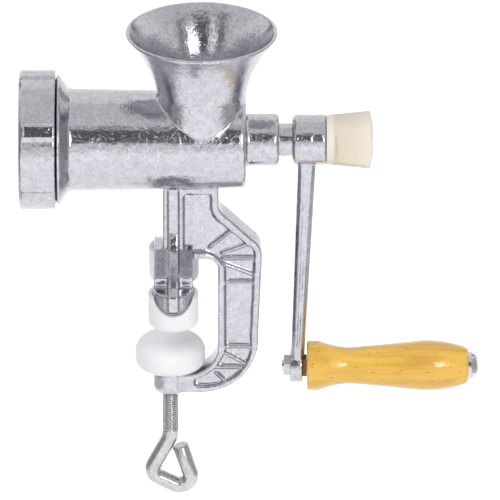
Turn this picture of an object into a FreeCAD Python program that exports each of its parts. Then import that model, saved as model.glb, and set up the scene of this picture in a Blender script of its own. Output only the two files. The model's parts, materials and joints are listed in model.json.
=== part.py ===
import FreeCAD, Part
import math
import os

import Sketcher

# Hand crank meat grinder with a table clamp, in millimetres.
# The origin is where the clamp screw's axis meets the table top that the two boots stand on.
# +X runs along the barrel from the outlet to the crank, +Z is up, and the object is symmetric in Y
# apart from its screws. "Reach" is a distance from the clamp axis along X.

SIZES = {
    # barrel and its threaded neck
    "axis_height": 88.0,
    "barrel_front_reach": 50.0,
    "barrel_rear_reach": 38.0,
    "barrel_front_radius": 25.5,
    "barrel_rear_radius": 24.0,
    "barrel_edge_round": 2.0,
    "bore_radius": 21.3,
    "bore_end_wall": 3.0,
    "neck_length": 21.0,
    "neck_radius": 30.0,
    "flange_length": 6.2,
    "flange_radius": 32.3,
    "flange_cone_length": 4.8,
    "bearing_length": 16.5,
    "bearing_radius": 13.0,
    "bearing_edge_round": 1.8,
    # hopper
    "hopper_reach": 16.0,
    "hopper_neck_radius": 22.3,
    "hopper_wall": 2.1,
    "lip_round": 0.7,
    "hopper_mouth_radius": 38.75,
    "hopper_mouth_height": 58.8,
    "hopper_flare_start": 27.0,
    "hopper_flare_rise": 2.3,
    # frame of the clamp
    "frame_thickness": 14.0,
    "frame_rim": 3.5,
    "frame_panel_depth": 2.5,
    "web_left_reach": 3.5,
    "web_right_reach": 24.3,
    "column_inner_reach": 24.0,
    "column_width": 22.0,
    "column_taper": 2.0,
    "seat_height": 25.5,
    "arm_top_depth": 38.0,
    "arm_height": 10.0,
    "arm_inner_round": 15.0,
    "seat_inner_round": 6.0,
    "column_foot_rise": 20.0,
    "arm_straight_reach": 18.0,
    "shoulder_height": 10.4,
    "shoulder_inset": 4.5,
    "web_throat_drop": 30.0,
    "web_throat_height": 9.5,
    "web_throat_reach": 4.0,
    "web_throat_hollow": 1.6,
    "shoulder_swell": 1.3,
    "column_foot_swell": 8.0,
    "shoulder_lift": 1.0,
    "rib_width": 1.2,
    "rib_rise": 1.6,
    "rib_gap": 2.6,
    "rib_slant": 6.5,
    "rib_bay": 13.0,
    "rib_corner_drop": 11.5,
    "rib_foot_inset": 5.2,
    # feet of the fixed jaw
    "foot_reach": 1.8,
    "foot_width": 19.5,
    "foot_spread": 28.0,
    "foot_root_thickness": 7.0,
    "foot_root_rise": 6.0,
    "foot_step": 5.0,
    "foot_step_inset": 2.0,
    "foot_gap": 0.7,
    "plug_radius": 10.4,
    "plug_top_height": 19.0,
    "gusset_width": 5.0,
    "gusset_root_reach": 11.0,
    "gusset_toe_reach": 39.8,
    "gusset_toe_height": 11.0,
    "gusset_hollow": 5.0,
    "gusset_root_rise": 10.5,
    "gusset_toe_length": 4.0,
    "gusset_toe_rise": 4.0,
    # boots
    "boot_radius": 12.5,
    "boot_height": 17.0,
    "boot_floor": 2.0,
    "boot_edge_round": 2.5,
    "boot_scoop_radius": 9.75,
    "boot_scoop_height": 18.7,
    # clamp screw, swivel and pad
    "clamp_boss_radius": 8.5,
    "clamp_boss_length": 11.8,
    "clamp_boss_round": 3.6,
    "screw_radius": 4.0,
    "jaw_opening": 20.0,
    "pad_radius": 17.5,
    "pad_height": 16.0,
    "pad_flat_radius": 9.5,
    "pad_shoulder": 7.0,
    "pad_rim_height": 4.5,
    "pad_foot_radius": 13.0,
    "pad_foot_swell": 1.2,
    "pad_crown_swell": 2.1,
    "swivel_radius": 11.0,
    "swivel_height": 10.0,
    "swivel_socket_depth": 7.0,
    "hook_start_depth": 75.0,
    "hook_left_reach": 10.9,
    "hook_left_depth": 95.4,
    "hook_right_reach": 14.0,
    "hook_right_depth": 108.0,
    "hook_tip_reach": 4.7,
    "hook_tip_depth": 80.2,
    "hook_bend_radius": 5.6,
    "hook_neck_bend_radius": 14.0,
    # ring nut
    "nut_length": 18.3,
    "nut_radius": 34.8,
    "nut_lip": 3.8,
    "nut_mouth_radius": 23.5,
    "nut_edge_round": 1.8,
    "nut_lug_rise": 1.2,
    "nut_lug_width": 8.0,
    # cutting set
    "plate_radius": 27.0,
    "plate_thickness": 4.5,
    "plate_hole_radius": 2.2,
    "plate_ring_pitch": 6.0,
    "plate_inner_ring": 9.0,
    "plate_pin_radius": 1.5,
    "plate_notch_depth": 1.8,
    "knife_thickness": 5.5,
    "knife_hub_radius": 9.0,
    "knife_tip_radius": 24.5,
    "knife_blade_root": 9.0,
    "knife_blade_tip": 7.0,
    "knife_tip_swell": 0.6,
    "stud_square": 7.8,
    "stud_radius": 4.0,
    "stud_root_length": 16.0,
    # auger
    "flight_radius": 20.8,
    "flight_thickness": 4.0,
    "flight_pitch": 26.0,
    "flight_length": 84.0,
    "flight_gap": 0.5,
    "core_front_radius": 11.0,
    "core_rear_radius": 8.6,
    "core_collar_radius": 16.0,
    "core_collar_length": 5.0,
    "shaft_radius": 8.2,
    "shaft_neck_length": 6.5,
    "square_width": 11.0,
    "square_length": 13.5,
    "shaft_thread_depth": 18.0,
    "bush_radius": 10.5,
    "washer_radius": 17.0,
    "washer_thickness": 2.0,
    # crank
    "hub_length": 17.0,
    "hub_radius": 12.5,
    "hub_edge": 1.5,
    "hub_groove_reach": 9.9,
    "hub_groove_width": 0.8,
    "hub_groove_depth": 0.4,
    "crank_throw": 124.0,
    "arm_root_thickness": 9.0,
    "arm_root_width": 15.0,
    "arm_tip_thickness": 6.5,
    "arm_tip_width": 12.0,
    "arm_edge": 1.8,
    "arm_root_reach": 68.5,
    "arm_tip_reach": 63.6,
    "eye_radius": 8.3,
    "eye_reach": 60.0,
    "eye_length": 6.2,
    # thumb knob
    "knob_length": 23.0,
    "knob_collar_length": 4.5,
    "knob_small_radius": 12.3,
    "knob_large_radius": 14.4,
    "knob_crown": 1.4,
    "knob_crown_swell": 0.8,
    "knob_flat_half_width": 10.6,
    "knob_stud_radius": 4.0,
    "knob_stud_depth": 12.0,
    "knob_washer_radius": 9.0,
    "knob_washer_thickness": 1.2,
    # grip and its bolt
    "grip_length": 81.0,
    "grip_collar_radius": 12.5,
    "grip_neck_radius": 9.1,
    "grip_belly_radius": 12.5,
    "grip_tail_radius": 8.6,
    "grip_collar_length": 6.0,
    "grip_neck_reach": 21.5,
    "grip_belly_reach": 56.5,
    "grip_neck_hollow": 0.7,
    "grip_tail_swell": 1.2,
    "grip_edge_round": 1.2,
    "bolt_radius": 3.0,
    "bolt_head_radius": 6.8,
    "bolt_head_height": 4.8,
    "bolt_head_rim": 1.4,
    "bolt_head_swell": 1.5,
    "bolt_end_length": 1.0,
    "handle_nut_flats": 10.0,
    "handle_nut_thickness": 3.0,
    "grip_washer_radius": 5.5,
    "grip_washer_thickness": 2.2,
    # clearances
    "running_clearance": 0.05,
    "seat_clearance": 0.15,
    "face_clearance": 0.1,
    "end_clearance": 0.2,
    # how far a cut runs out past what it cuts
    "overrun": 1.0,
}

LUG_COUNT = 6
BLADE_COUNT = 4
PLATE_RINGS = 3
HOLES_IN_FIRST_RING = 6
SQUARE_CORNERS = ((1, 1), (-1, 1), (-1, -1), (1, -1))
HEXAGON_SIDES = 6
# Shares of the flight's thickness and of the frame's inset
FLIGHT_TIP_TAPER = 0.2
SLANT_INSET = 0.75
THROAT_INSET = 0.4


class Size:
    """A length together with the spreadsheet formula that gives it."""

    def __init__(self, value, text):
        self.value = value
        self.text = text

    def __add__(self, other):
        other = as_size(other)
        return Size(self.value + other.value, f"({self.text} + {other.text})")

    def __sub__(self, other):
        other = as_size(other)
        return Size(self.value - other.value, f"({self.text} - {other.text})")

    def __mul__(self, other):
        other = as_size(other)
        return Size(self.value * other.value, f"({self.text} * {other.text})")

    def __truediv__(self, other):
        other = as_size(other)
        return Size(self.value / other.value, f"({self.text} / {other.text})")

    def __neg__(self):
        return Size(-self.value, f"(-{self.text})")


def as_size(number):
    """Turns a plain number into a Size, and leaves a Size as it is."""
    return number if isinstance(number, Size) else Size(float(number), f"({float(number)!r})")


class Sheet:
    """The driving dimensions as spreadsheet cells, each read back as a Size by its alias."""

    def __init__(self, document, sizes):
        self.cells = document.addObject("Spreadsheet::Sheet", "sizes")
        self.known = sizes
        for row, (alias, value) in enumerate(sizes.items(), start=1):
            self.cells.set(f"A{row}", alias)
            self.cells.set(f"B{row}", str(value))
            self.cells.setAlias(f"B{row}", alias)

    def __getattr__(self, alias):
        return Size(self.known[alias], f"sizes.{alias}")


doc = FreeCAD.newDocument("meat_grinder")
d = Sheet(doc, SIZES)
doc.recompute()

ZERO = Size(0.0, "0")
TOUCH = 1e-4
QUARTER_TURN_RISE = 1 - math.sqrt(0.5)
HEXAGON_CORNER = 1 / math.sqrt(3)
START, END, CENTRE = range(1, 4)
X_AXIS, Y_AXIS = range(-1, -3, -1)


# Places along X that several pieces share

NECK_FRONT = -(d.barrel_front_reach + d.neck_length)
NUT_FRONT = NECK_FRONT - d.nut_lip - d.end_clearance
PLATE_REAR = NECK_FRONT + d.plate_thickness
KNIFE_FRONT = PLATE_REAR + d.face_clearance
KNIFE_REAR = KNIFE_FRONT + d.knife_thickness
SEAT_REAR = KNIFE_REAR + d.face_clearance
BORE_END = d.barrel_rear_reach - d.bore_end_wall
WASHER_FRONT = BORE_END - d.washer_thickness
COLLAR_REAR = WASHER_FRONT - d.face_clearance
BEARING_REAR = d.barrel_rear_reach + d.bearing_length
HUB_FRONT = BEARING_REAR + d.shaft_neck_length
HUB_REAR = HUB_FRONT + d.hub_length
KNOB_FRONT = HUB_REAR + d.face_clearance
KNOB_REAR = KNOB_FRONT + d.knob_length
EYE_REAR = d.eye_reach + d.eye_length
GRIP_FRONT = EYE_REAR + d.grip_washer_thickness + d.face_clearance
GRIP_REAR = GRIP_FRONT + d.grip_length

# Heights that several pieces share

HANDLE_HEIGHT = d.axis_height - d.crank_throw
PAD_TOP = -d.jaw_opening
PAD_BOTTOM = PAD_TOP - d.pad_height
SWIVEL_TOP = PAD_BOTTOM + d.swivel_height
SOCKET_TOP = PAD_BOTTOM + d.swivel_socket_depth
ARM_TOP = -d.arm_top_depth
ARM_BOTTOM = ARM_TOP - d.arm_height
BOOT_FIT_RADIUS = d.plug_radius + d.running_clearance


# Sketch and feature helpers

def new_body(label):
    body = doc.addObject("PartDesign::Body", label)
    body.Label = label
    return body


def new_sketch(body, label, plane, across=ZERO, up=ZERO, off=ZERO):
    """A sketch on an origin plane, moved by across and up in the plane and by off along its normal.
    XZ looks along +Y with X across and Z up, YZ has Y across and Z up, XY has X across and Y up."""
    sketch = body.newObject("Sketcher::SketchObject", label)
    face = next(item for item in body.Origin.OriginFeatures if item.Role == plane + "_Plane")
    sketch.AttachmentSupport = [(face, "")]
    sketch.MapMode = "FlatFace"
    for key, shift in zip("xyz", (across, up, off)):
        if shift is not ZERO:
            sketch.setExpression(f".AttachmentOffset.Base.{key}", shift.text)
    return sketch


def hold(sketch, kind, geometry, size, *point):
    """Adds a dimension to the sketch and ties it to the size's formula."""
    index = sketch.addConstraint(Sketcher.Constraint(kind, geometry, *point, size.value))
    sketch.setExpression(f"Constraints[{index}]", size.text)


def hold_point(sketch, geometry, end, x, y):
    for kind, axis, size in (("DistanceX", Y_AXIS, x), ("DistanceY", X_AXIS, y)):
        if size is ZERO:
            sketch.addConstraint(Sketcher.Constraint("PointOnObject", geometry, end, axis))
        else:
            hold(sketch, kind, geometry, size, end)


def arc_between(first, last, rise):
    """The arc from first to last that stands off its chord by rise, and its radius as a Size.
    A positive rise turns left on the way, and a negative one turns right."""
    step_x = last[0] - first[0]
    step_y = last[1] - first[1]
    height = rise if rise.value > 0 else -rise
    radius = (step_x * step_x + step_y * step_y) / (height * 8) + height / 2
    chord = math.hypot(step_x.value, step_y.value)
    side = math.copysign(1.0, rise.value)
    inward = (radius.value - height.value) * side / chord
    centre_x = (first[0].value + last[0].value) / 2 - step_y.value * inward
    centre_y = (first[1].value + last[1].value) / 2 + step_x.value * inward
    ends = (first, last) if side > 0 else (last, first)
    angles = [math.atan2(end[1].value - centre_y, end[0].value - centre_x) for end in ends]
    if angles[1] < angles[0]:
        angles[1] += 2 * math.pi
    circle = Part.Circle(FreeCAD.Vector(centre_x, centre_y), FreeCAD.Vector(0, 0, 1), radius.value)
    return Part.ArcOfCircle(circle, *angles), radius


def draw_loop(sketch, points, rises=None):
    """A closed outline through points. rises gives, by a point's number, the rise of the arc that
    leaves it for the next point; the other stretches are straight."""
    rises = rises or {}
    ends = []
    for number, first in enumerate(points):
        last = points[(number + 1) % len(points)]
        if number in rises:
            arc, radius = arc_between(first, last, as_size(rises[number]))
            geometry = sketch.addGeometry(arc, False)
            hold(sketch, "Radius", geometry, radius)
            turns_left = as_size(rises[number]).value > 0
            ends.append((geometry, START, END) if turns_left else (geometry, END, START))
        else:
            line = Part.LineSegment(*(FreeCAD.Vector(x.value, y.value) for x, y in (first, last)))
            ends.append((sketch.addGeometry(line, False), START, END))
    for number, (geometry, first_end, last_end) in enumerate(ends):
        following = ends[(number + 1) % len(ends)]
        sketch.addConstraint(
            Sketcher.Constraint("Coincident", geometry, last_end, following[0], following[1]))
        hold_point(sketch, geometry, first_end, *points[number])


def draw_circle(sketch, x, y, radius):
    circle = Part.Circle(FreeCAD.Vector(x.value, y.value), FreeCAD.Vector(0, 0, 1), radius.value)
    geometry = sketch.addGeometry(circle, False)
    if x is ZERO and y is ZERO:
        sketch.addConstraint(Sketcher.Constraint("Coincident", geometry, CENTRE, X_AXIS, START))
    else:
        hold_point(sketch, geometry, CENTRE, x, y)
    hold(sketch, "Radius", geometry, radius)


def mirrored(points, rises):
    """Doubles an outline given for positive x into a whole one, across x = 0."""
    count = len(points)
    whole = list(points) + [(-x, y) for x, y in reversed(points)]
    both = dict(rises)
    for number, rise in rises.items():
        both[2 * count - 2 - number] = rise
    return whole, both


def extrude(body, sketch, length, cut=False, symmetric=False, backwards=False):
    """Pads or pockets a sketch. A pad leaves along the sketch's normal and a pocket against it."""
    kind = "PartDesign::Pocket" if cut else "PartDesign::Pad"
    feature = body.newObject(kind, sketch.Name + ("_cut" if cut else "_pad"))
    feature.Profile = sketch
    feature.setExpression("Length", length.text)
    feature.SideType = "Symmetric" if symmetric else "One side"
    feature.Reversed = backwards
    doc.recompute()
    return feature


def turn(body, sketch, axis, cut=False):
    kind = "PartDesign::Groove" if cut else "PartDesign::Revolution"
    feature = body.newObject(kind, sketch.Name + "_turn")
    feature.Profile = sketch
    feature.ReferenceAxis = (sketch, [axis])
    feature.Angle = 360
    doc.recompute()
    return feature


def ring_of(body, feature, sketch, count):
    """Repeats a feature evenly about its sketch's normal."""
    pattern = body.newObject("PartDesign::PolarPattern", feature.Name + "_ring")
    pattern.Originals = [feature]
    pattern.Axis = (sketch, ["N_Axis"])
    pattern.Angle = 360
    pattern.Occurrences = count
    body.Tip = pattern
    doc.recompute()


def round_edges(body, label, radius, chosen):
    """Fillets those edges of the body so far that the test called chosen picks by their bounding box."""
    base = body.Tip
    numbered = enumerate(base.Shape.Edges, start=1)
    names = [f"Edge{number}" for number, edge in numbered if chosen(edge.BoundBox)]
    fillet = body.newObject("PartDesign::Fillet", label)
    fillet.Base = (base, names)
    fillet.setExpression("Radius", radius.text)
    doc.recompute()


def turned_body(label, points, rises=None, height=d.axis_height):
    """A body turned about a line along X at the given height, from (place along X, radius) points."""
    body = new_body(label)
    sketch = new_sketch(body, label + "_profile", "XZ", up=height)
    draw_loop(sketch, points, rises)
    turn(body, sketch, "H_Axis")
    return body


def rounded(radius):
    """The rise of a quarter turn of this radius."""
    return radius * QUARTER_TURN_RISE


def square(half):
    return [(half * x, half * y) for x, y in SQUARE_CORNERS]


# The casting: barrel, hopper, clamp frame and feet in one piece

def add_barrel(body):
    sketch = new_sketch(body, "barrel_profile", "XZ", up=d.axis_height)
    edge, nose = d.barrel_edge_round, d.bearing_edge_round
    draw_loop(sketch, [
        (NECK_FRONT, ZERO),
        (NECK_FRONT, d.neck_radius),
        (-(d.barrel_front_reach + d.flange_length), d.neck_radius),
        (-(d.barrel_front_reach + d.flange_length), d.flange_radius),
        (-(d.barrel_front_reach + d.flange_cone_length), d.flange_radius),
        (-d.barrel_front_reach, d.barrel_front_radius),
        (d.barrel_rear_reach - edge, d.barrel_rear_radius),
        (d.barrel_rear_reach, d.barrel_rear_radius - edge),
        (d.barrel_rear_reach, d.bearing_radius),
        (BEARING_REAR - nose, d.bearing_radius),
        (BEARING_REAR, d.bearing_radius - nose),
        (BEARING_REAR, ZERO),
    ], {6: -rounded(edge), 9: -rounded(nose)})
    turn(body, sketch, "H_Axis")


def hopper_loop(sketch, wall, overrun):
    """The hopper's turned profile, inset by wall and carried past the mouth by overrun."""
    neck, mouth = d.hopper_neck_radius - wall, d.hopper_mouth_radius - wall
    top = d.hopper_mouth_height + overrun
    draw_loop(sketch, [
        (ZERO, ZERO),
        (neck, ZERO),
        (neck, d.hopper_flare_start),
        (mouth, top),
        (ZERO, top),
    ], {2: -d.hopper_flare_rise})


def add_hopper(body):
    sketch = new_sketch(body, "hopper_profile", "XZ", across=d.hopper_reach, up=d.axis_height)
    hopper_loop(sketch, ZERO, ZERO)
    turn(body, sketch, "V_Axis")


def frame_loop(sketch, inset, left, top, arm_end):
    """The clamp frame's outline: web, shoulder, column and lower arm, drawn in by inset."""
    right = d.column_inner_reach + d.column_width - inset
    inner = d.column_inner_reach + inset
    web = d.web_right_reach - inset
    throat = d.axis_height - d.web_throat_drop
    slant = inset * SLANT_INSET
    draw_loop(sketch, [
        (left, top),
        (web, top),
        (web, throat - inset * THROAT_INSET),
        (web + d.web_throat_reach, throat - d.web_throat_height - slant),
        (right + inset - d.shoulder_inset - slant, d.seat_height + d.shoulder_height - slant),
        (right, d.seat_height + d.shoulder_lift),
        (right - d.column_taper, ARM_TOP + d.column_foot_rise),
        (d.arm_straight_reach, ARM_BOTTOM + inset),
        (arm_end, ARM_BOTTOM + inset),
        (arm_end, ARM_TOP - inset),
        (inner - d.arm_inner_round - inset, ARM_TOP - inset),
        (inner, ARM_TOP + d.arm_inner_round),
        (inner, d.seat_height - d.seat_inner_round),
        (inner - d.seat_inner_round - inset, d.seat_height + inset),
        (left, d.seat_height + inset),
    ], {
        2: d.web_throat_hollow,
        4: -d.shoulder_swell,
        6: -d.column_foot_swell,
        10: rounded(d.arm_inner_round),
        12: rounded(d.seat_inner_round),
    })


def add_frame(body):
    sketch = new_sketch(body, "frame_outline", "XZ")
    frame_loop(sketch, ZERO, -d.web_left_reach, d.axis_height - d.bore_radius, ZERO)
    extrude(body, sketch, d.frame_thickness, symmetric=True)


def cut_frame_panels(body):
    """Sinks a panel into both faces of the frame and leaves a rim round it."""
    panel_left = d.foot_reach + d.gusset_width
    panel_top = d.axis_height - d.barrel_front_radius - d.frame_rim / 2
    arm_end = d.clamp_boss_radius + d.frame_rim
    half = d.frame_thickness / 2
    for side, off, backwards in (("front", half, False), ("rear", -half, True)):
        sketch = new_sketch(body, side + "_panel", "XZ", off=off)
        frame_loop(sketch, d.frame_rim, panel_left, panel_top, arm_end)
        extrude(body, sketch, d.frame_panel_depth, cut=True, backwards=backwards)


def rib_lines():
    """The ends of the panel's ribs: level ones at the seat, below it and at the foot of the column,
    with slanting ones between them, all running into the rim."""
    inner = d.column_inner_reach + d.frame_rim / 2
    outer = d.column_inner_reach + d.column_width - d.column_taper - d.frame_rim / 2
    foot = outer - d.rib_foot_inset
    gap, slant = d.rib_gap, d.rib_slant
    seat = d.seat_height
    corner = ARM_TOP + d.arm_inner_round
    low = corner - d.rib_corner_drop
    brow = seat + d.frame_rim + gap
    return [
        ((inner - d.seat_inner_round, brow), (inner + d.seat_inner_round, brow + slant + d.frame_rim)),
        ((inner, seat + gap), (outer, seat + gap + slant)),
        ((inner, seat), (outer, seat)),
        ((inner, seat - gap), (outer, seat - gap - slant)),
        ((inner, seat - d.rib_bay), (outer, seat - d.rib_bay)),
        ((inner, corner), (outer, corner)),
        ((inner, corner - gap), (foot, corner - gap - slant)),
        ((inner - d.frame_rim, low), (foot, low)),
        ((inner - d.frame_rim, low - gap), (inner + d.frame_rim, low - gap - slant)),
    ]


def add_panel_ribs(body):
    """Raises thin ribs on the floor of both panels."""
    half = d.rib_width / 2
    floor = d.frame_thickness / 2 - d.frame_panel_depth
    for side, off, backwards in (("front", floor, False), ("rear", -floor, True)):
        sketch = new_sketch(body, side + "_ribs", "XZ", off=off)
        for (left, start), (right, end) in rib_lines():
            lower = [(left, start - half), (right, end - half)]
            upper = [(right, end + half), (left, start + half)]
            draw_loop(sketch, lower + upper)
        extrude(body, sketch, d.rib_rise, backwards=backwards)


def add_feet(body):
    """The saddle under the web, a round plug at each end of it, and a gusset along its back."""
    root = d.frame_thickness / 2
    step_reach = d.foot_spread - d.foot_step_inset
    root_top = d.seat_height + d.foot_root_rise
    under = d.boot_height + d.foot_gap
    saddle = new_sketch(body, "saddle_outline", "YZ", off=d.foot_reach)
    half = [
        (root, root_top),
        (step_reach, d.plug_top_height + d.foot_step),
        (step_reach, under),
        (d.foot_spread - d.boot_radius - d.running_clearance, under),
        (root, root_top - d.foot_root_thickness),
    ]
    draw_loop(saddle, *mirrored(half, {}))
    extrude(body, saddle, d.foot_width, symmetric=True)

    plugs = new_sketch(body, "plug_circles", "XY", off=d.plug_top_height)
    for side in (d.foot_spread, -d.foot_spread):
        draw_circle(plugs, d.foot_reach, side, d.plug_radius)
    extrude(body, plugs, d.plug_top_height - d.boot_floor, backwards=True)

    gusset = new_sketch(body, "gusset_outline", "YZ", off=d.foot_reach)
    toe = d.gusset_toe_reach
    half = [
        (d.gusset_root_reach, d.axis_height - d.bore_radius),
        (d.gusset_root_reach, root_top + d.gusset_root_rise),
        (toe - d.gusset_toe_length, d.plug_top_height + d.gusset_toe_rise),
        (toe, d.plug_top_height),
        (toe, d.gusset_toe_height),
        (toe - d.gusset_toe_length, d.gusset_toe_height),
        (d.foot_spread - d.plug_radius / 2, under),
        (root, d.seat_height + d.foot_root_rise / 2),
    ]
    draw_loop(gusset, *mirrored(half, {1: d.gusset_hollow}))
    extrude(body, gusset, d.gusset_width, symmetric=True)


def add_clamp_boss(body):
    bottom = ARM_TOP - d.clamp_boss_length
    sketch = new_sketch(body, "clamp_boss_profile", "XZ")
    edge, radius = d.clamp_boss_round, d.clamp_boss_radius
    draw_loop(sketch, [
        (ZERO, bottom),
        (radius - edge, bottom),
        (radius, bottom + edge),
        (radius, ARM_TOP),
        (ZERO, ARM_TOP),
    ], {1: rounded(edge)})
    turn(body, sketch, "V_Axis")
    hole = new_sketch(body, "screw_hole", "XY", off=ARM_TOP)
    draw_circle(hole, ZERO, ZERO, d.screw_radius + d.running_clearance)
    extrude(body, hole, d.clamp_boss_length, cut=True)


def cut_bore(body):
    """The auger's bore with the plate's seat in front and the bush's bore behind."""
    sketch = new_sketch(body, "bore_profile", "XZ", up=d.axis_height)
    seat = d.plate_radius + d.seat_clearance
    bush = d.bush_radius
    draw_loop(sketch, [
        (NECK_FRONT, ZERO),
        (NECK_FRONT, seat),
        (SEAT_REAR, seat),
        (SEAT_REAR, d.bore_radius),
        (BORE_END, d.bore_radius),
        (BORE_END, bush),
        (BEARING_REAR, bush),
        (BEARING_REAR, ZERO),
    ])
    turn(body, sketch, "H_Axis", cut=True)


def cut_hopper(body):
    sketch = new_sketch(body, "hopper_hollow", "XZ", across=d.hopper_reach, up=d.axis_height)
    hopper_loop(sketch, d.hopper_wall, d.end_clearance)
    turn(body, sketch, "V_Axis", cut=True)


def round_hopper_lip(body):
    top = (d.axis_height + d.hopper_mouth_height).value
    round_edges(body, "lip_round", d.lip_round, lambda box: abs(box.ZMin - top) < TOUCH)


def cut_pin_hole(body):
    """A blind hole in the bottom of the plate's seat for the pin that stops the plate turning."""
    floor = d.axis_height - d.plate_radius - d.plate_pin_radius
    sketch = new_sketch(body, "pin_hole", "XY", off=floor)
    draw_circle(sketch, NECK_FRONT + d.plate_thickness / 2, ZERO, d.plate_pin_radius)
    extrude(body, sketch, d.plate_pin_radius * 2, cut=True, backwards=True)


def make_casting():
    body = new_body("body_casting")
    add_barrel(body)
    add_hopper(body)
    add_frame(body)
    add_feet(body)
    cut_frame_panels(body)
    add_panel_ribs(body)
    add_clamp_boss(body)
    cut_bore(body)
    cut_hopper(body)
    round_hopper_lip(body)
    cut_pin_hole(body)


# Boots and the clamp's moving pieces

def make_boot(label, side):
    """A plastic cup under one foot, with a scoop in its outer wall that shows the foot."""
    body = new_body(label)
    sketch = new_sketch(body, label + "_profile", "XZ", across=d.foot_reach, off=-(d.foot_spread * side))
    edge = d.boot_edge_round
    draw_loop(sketch, [
        (ZERO, ZERO),
        (d.boot_radius - edge, ZERO),
        (d.boot_radius, edge),
        (d.boot_radius, d.boot_height),
        (BOOT_FIT_RADIUS, d.boot_height),
        (BOOT_FIT_RADIUS, d.boot_floor),
        (ZERO, d.boot_floor),
    ], {1: rounded(edge)})
    turn(body, sketch, "V_Axis")
    scoop = new_sketch(body, label + "_scoop", "XZ", off=-(d.foot_spread * side))
    draw_circle(scoop, d.foot_reach, d.boot_scoop_height, d.boot_scoop_radius)
    extrude(body, scoop, d.boot_radius * 2, cut=True, backwards=side < 0)


def make_clamp_pad():
    body = new_body("clamp_pad")
    sketch = new_sketch(body, "pad_profile", "XZ")
    rim_top = PAD_TOP - d.pad_shoulder
    cup = d.swivel_radius + d.running_clearance
    draw_loop(sketch, [
        (ZERO, PAD_TOP),
        (ZERO, SWIVEL_TOP),
        (cup, SWIVEL_TOP),
        (cup, PAD_BOTTOM),
        (d.pad_foot_radius, PAD_BOTTOM),
        (d.pad_radius, rim_top - d.pad_rim_height),
        (d.pad_radius, rim_top),
        (d.pad_flat_radius, PAD_TOP),
    ], {4: d.pad_foot_swell, 6: d.pad_crown_swell})
    turn(body, sketch, "V_Axis")


def make_clamp_swivel():
    body = new_body("clamp_swivel")
    sketch = new_sketch(body, "swivel_profile", "XZ")
    socket = d.screw_radius + d.running_clearance
    draw_loop(sketch, [
        (ZERO, SWIVEL_TOP),
        (ZERO, SOCKET_TOP),
        (socket, SOCKET_TOP),
        (socket, PAD_BOTTOM),
        (d.swivel_radius, PAD_BOTTOM),
        (d.swivel_radius, SWIVEL_TOP),
    ])
    turn(body, sketch, "V_Axis")


def bent_path(corners, radii):
    """Straight runs joined by tangent arcs, one arc of the given radius at each inner corner."""
    edges = []
    start = corners[0]
    for before, corner, after, radius in zip(corners, corners[1:], corners[2:], radii):
        back = (before - corner).normalize()
        ahead = (after - corner).normalize()
        half_angle = back.getAngle(ahead) / 2
        inset = radius / math.tan(half_angle)
        middle = (back + ahead).normalize()
        depth = radius / math.sin(half_angle) - radius
        first, last = corner + back * inset, corner + ahead * inset
        edges.append(Part.LineSegment(start, first).toShape())
        edges.append(Part.Arc(first, corner + middle * depth, last).toShape())
        start = last
    edges.append(Part.LineSegment(start, corners[-1]).toShape())
    return Part.Wire(edges)


def make_clamp_screw():
    """A threaded rod whose lower end is bent into an open three-sided eye for turning it."""
    places = [
        (ZERO, SOCKET_TOP - d.running_clearance),
        (ZERO, -d.hook_start_depth),
        (-d.hook_left_reach, -d.hook_left_depth),
        (d.hook_right_reach, -d.hook_right_depth),
        (d.hook_tip_reach, -d.hook_tip_depth),
    ]
    corners = [FreeCAD.Vector(x.value, 0, z.value) for x, z in places]
    radii = [d.hook_neck_bend_radius.value, d.hook_bend_radius.value, d.hook_bend_radius.value]
    path = bent_path(corners, radii)
    section = Part.Wire(Part.makeCircle(d.screw_radius.value, corners[0], FreeCAD.Vector(0, 0, 1)))
    rod = doc.addObject("Part::Feature", "clamp_screw")
    rod.Label = "clamp_screw"
    rod.Shape = path.makePipeShell([section], True, False)
    rod.Placement = FreeCAD.Placement()


# Ring nut and cutting set

def make_ring_nut():
    thread = d.neck_radius + d.running_clearance
    lip_rear = NUT_FRONT + d.nut_lip
    rear = NUT_FRONT + d.nut_length
    edge = d.nut_edge_round
    body = turned_body("ring_nut", [
        (NUT_FRONT, d.nut_mouth_radius),
        (NUT_FRONT, d.nut_radius - edge),
        (NUT_FRONT + edge, d.nut_radius),
        (rear, d.nut_radius),
        (rear, thread),
        (lip_rear, thread),
        (lip_rear, d.nut_mouth_radius),
    ], {1: -rounded(edge)})
    lug = new_sketch(body, "lug_outline", "YZ", up=d.axis_height, off=NUT_FRONT + edge)
    half, root, crest = d.nut_lug_width / 2, d.nut_radius - edge, d.nut_radius + d.nut_lug_rise
    slope = d.nut_lug_rise / 2
    foot, top = half + slope, half - slope
    draw_loop(lug, [(foot, root), (top, crest), (-top, crest), (-foot, root)])
    first = extrude(body, lug, d.nut_length - edge)
    ring_of(body, first, lug, LUG_COUNT)


def make_hole_plate():
    bearing = d.stud_radius + d.running_clearance
    body = turned_body("hole_plate", [
        (NECK_FRONT, bearing),
        (NECK_FRONT, d.plate_radius),
        (PLATE_REAR, d.plate_radius),
        (PLATE_REAR, bearing),
    ])
    for ring in range(PLATE_RINGS):
        hole = new_sketch(body, f"hole_ring_{ring + 1}", "YZ", up=d.axis_height, off=PLATE_REAR)
        draw_circle(hole, ZERO, d.plate_inner_ring + d.plate_ring_pitch * ring, d.plate_hole_radius)
        first = extrude(body, hole, d.plate_thickness, cut=True)
        ring_of(body, first, hole, HOLES_IN_FIRST_RING * (ring + 1))
    notch = new_sketch(body, "pin_notch", "YZ", up=d.axis_height, off=PLATE_REAR)
    half = d.plate_pin_radius + d.seat_clearance
    top, bottom = d.plate_notch_depth - d.plate_radius, -(d.plate_radius + d.overrun)
    draw_loop(notch, [(half, bottom), (half, top), (-half, top), (-half, bottom)])
    extrude(body, notch, d.plate_thickness, cut=True)


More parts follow.
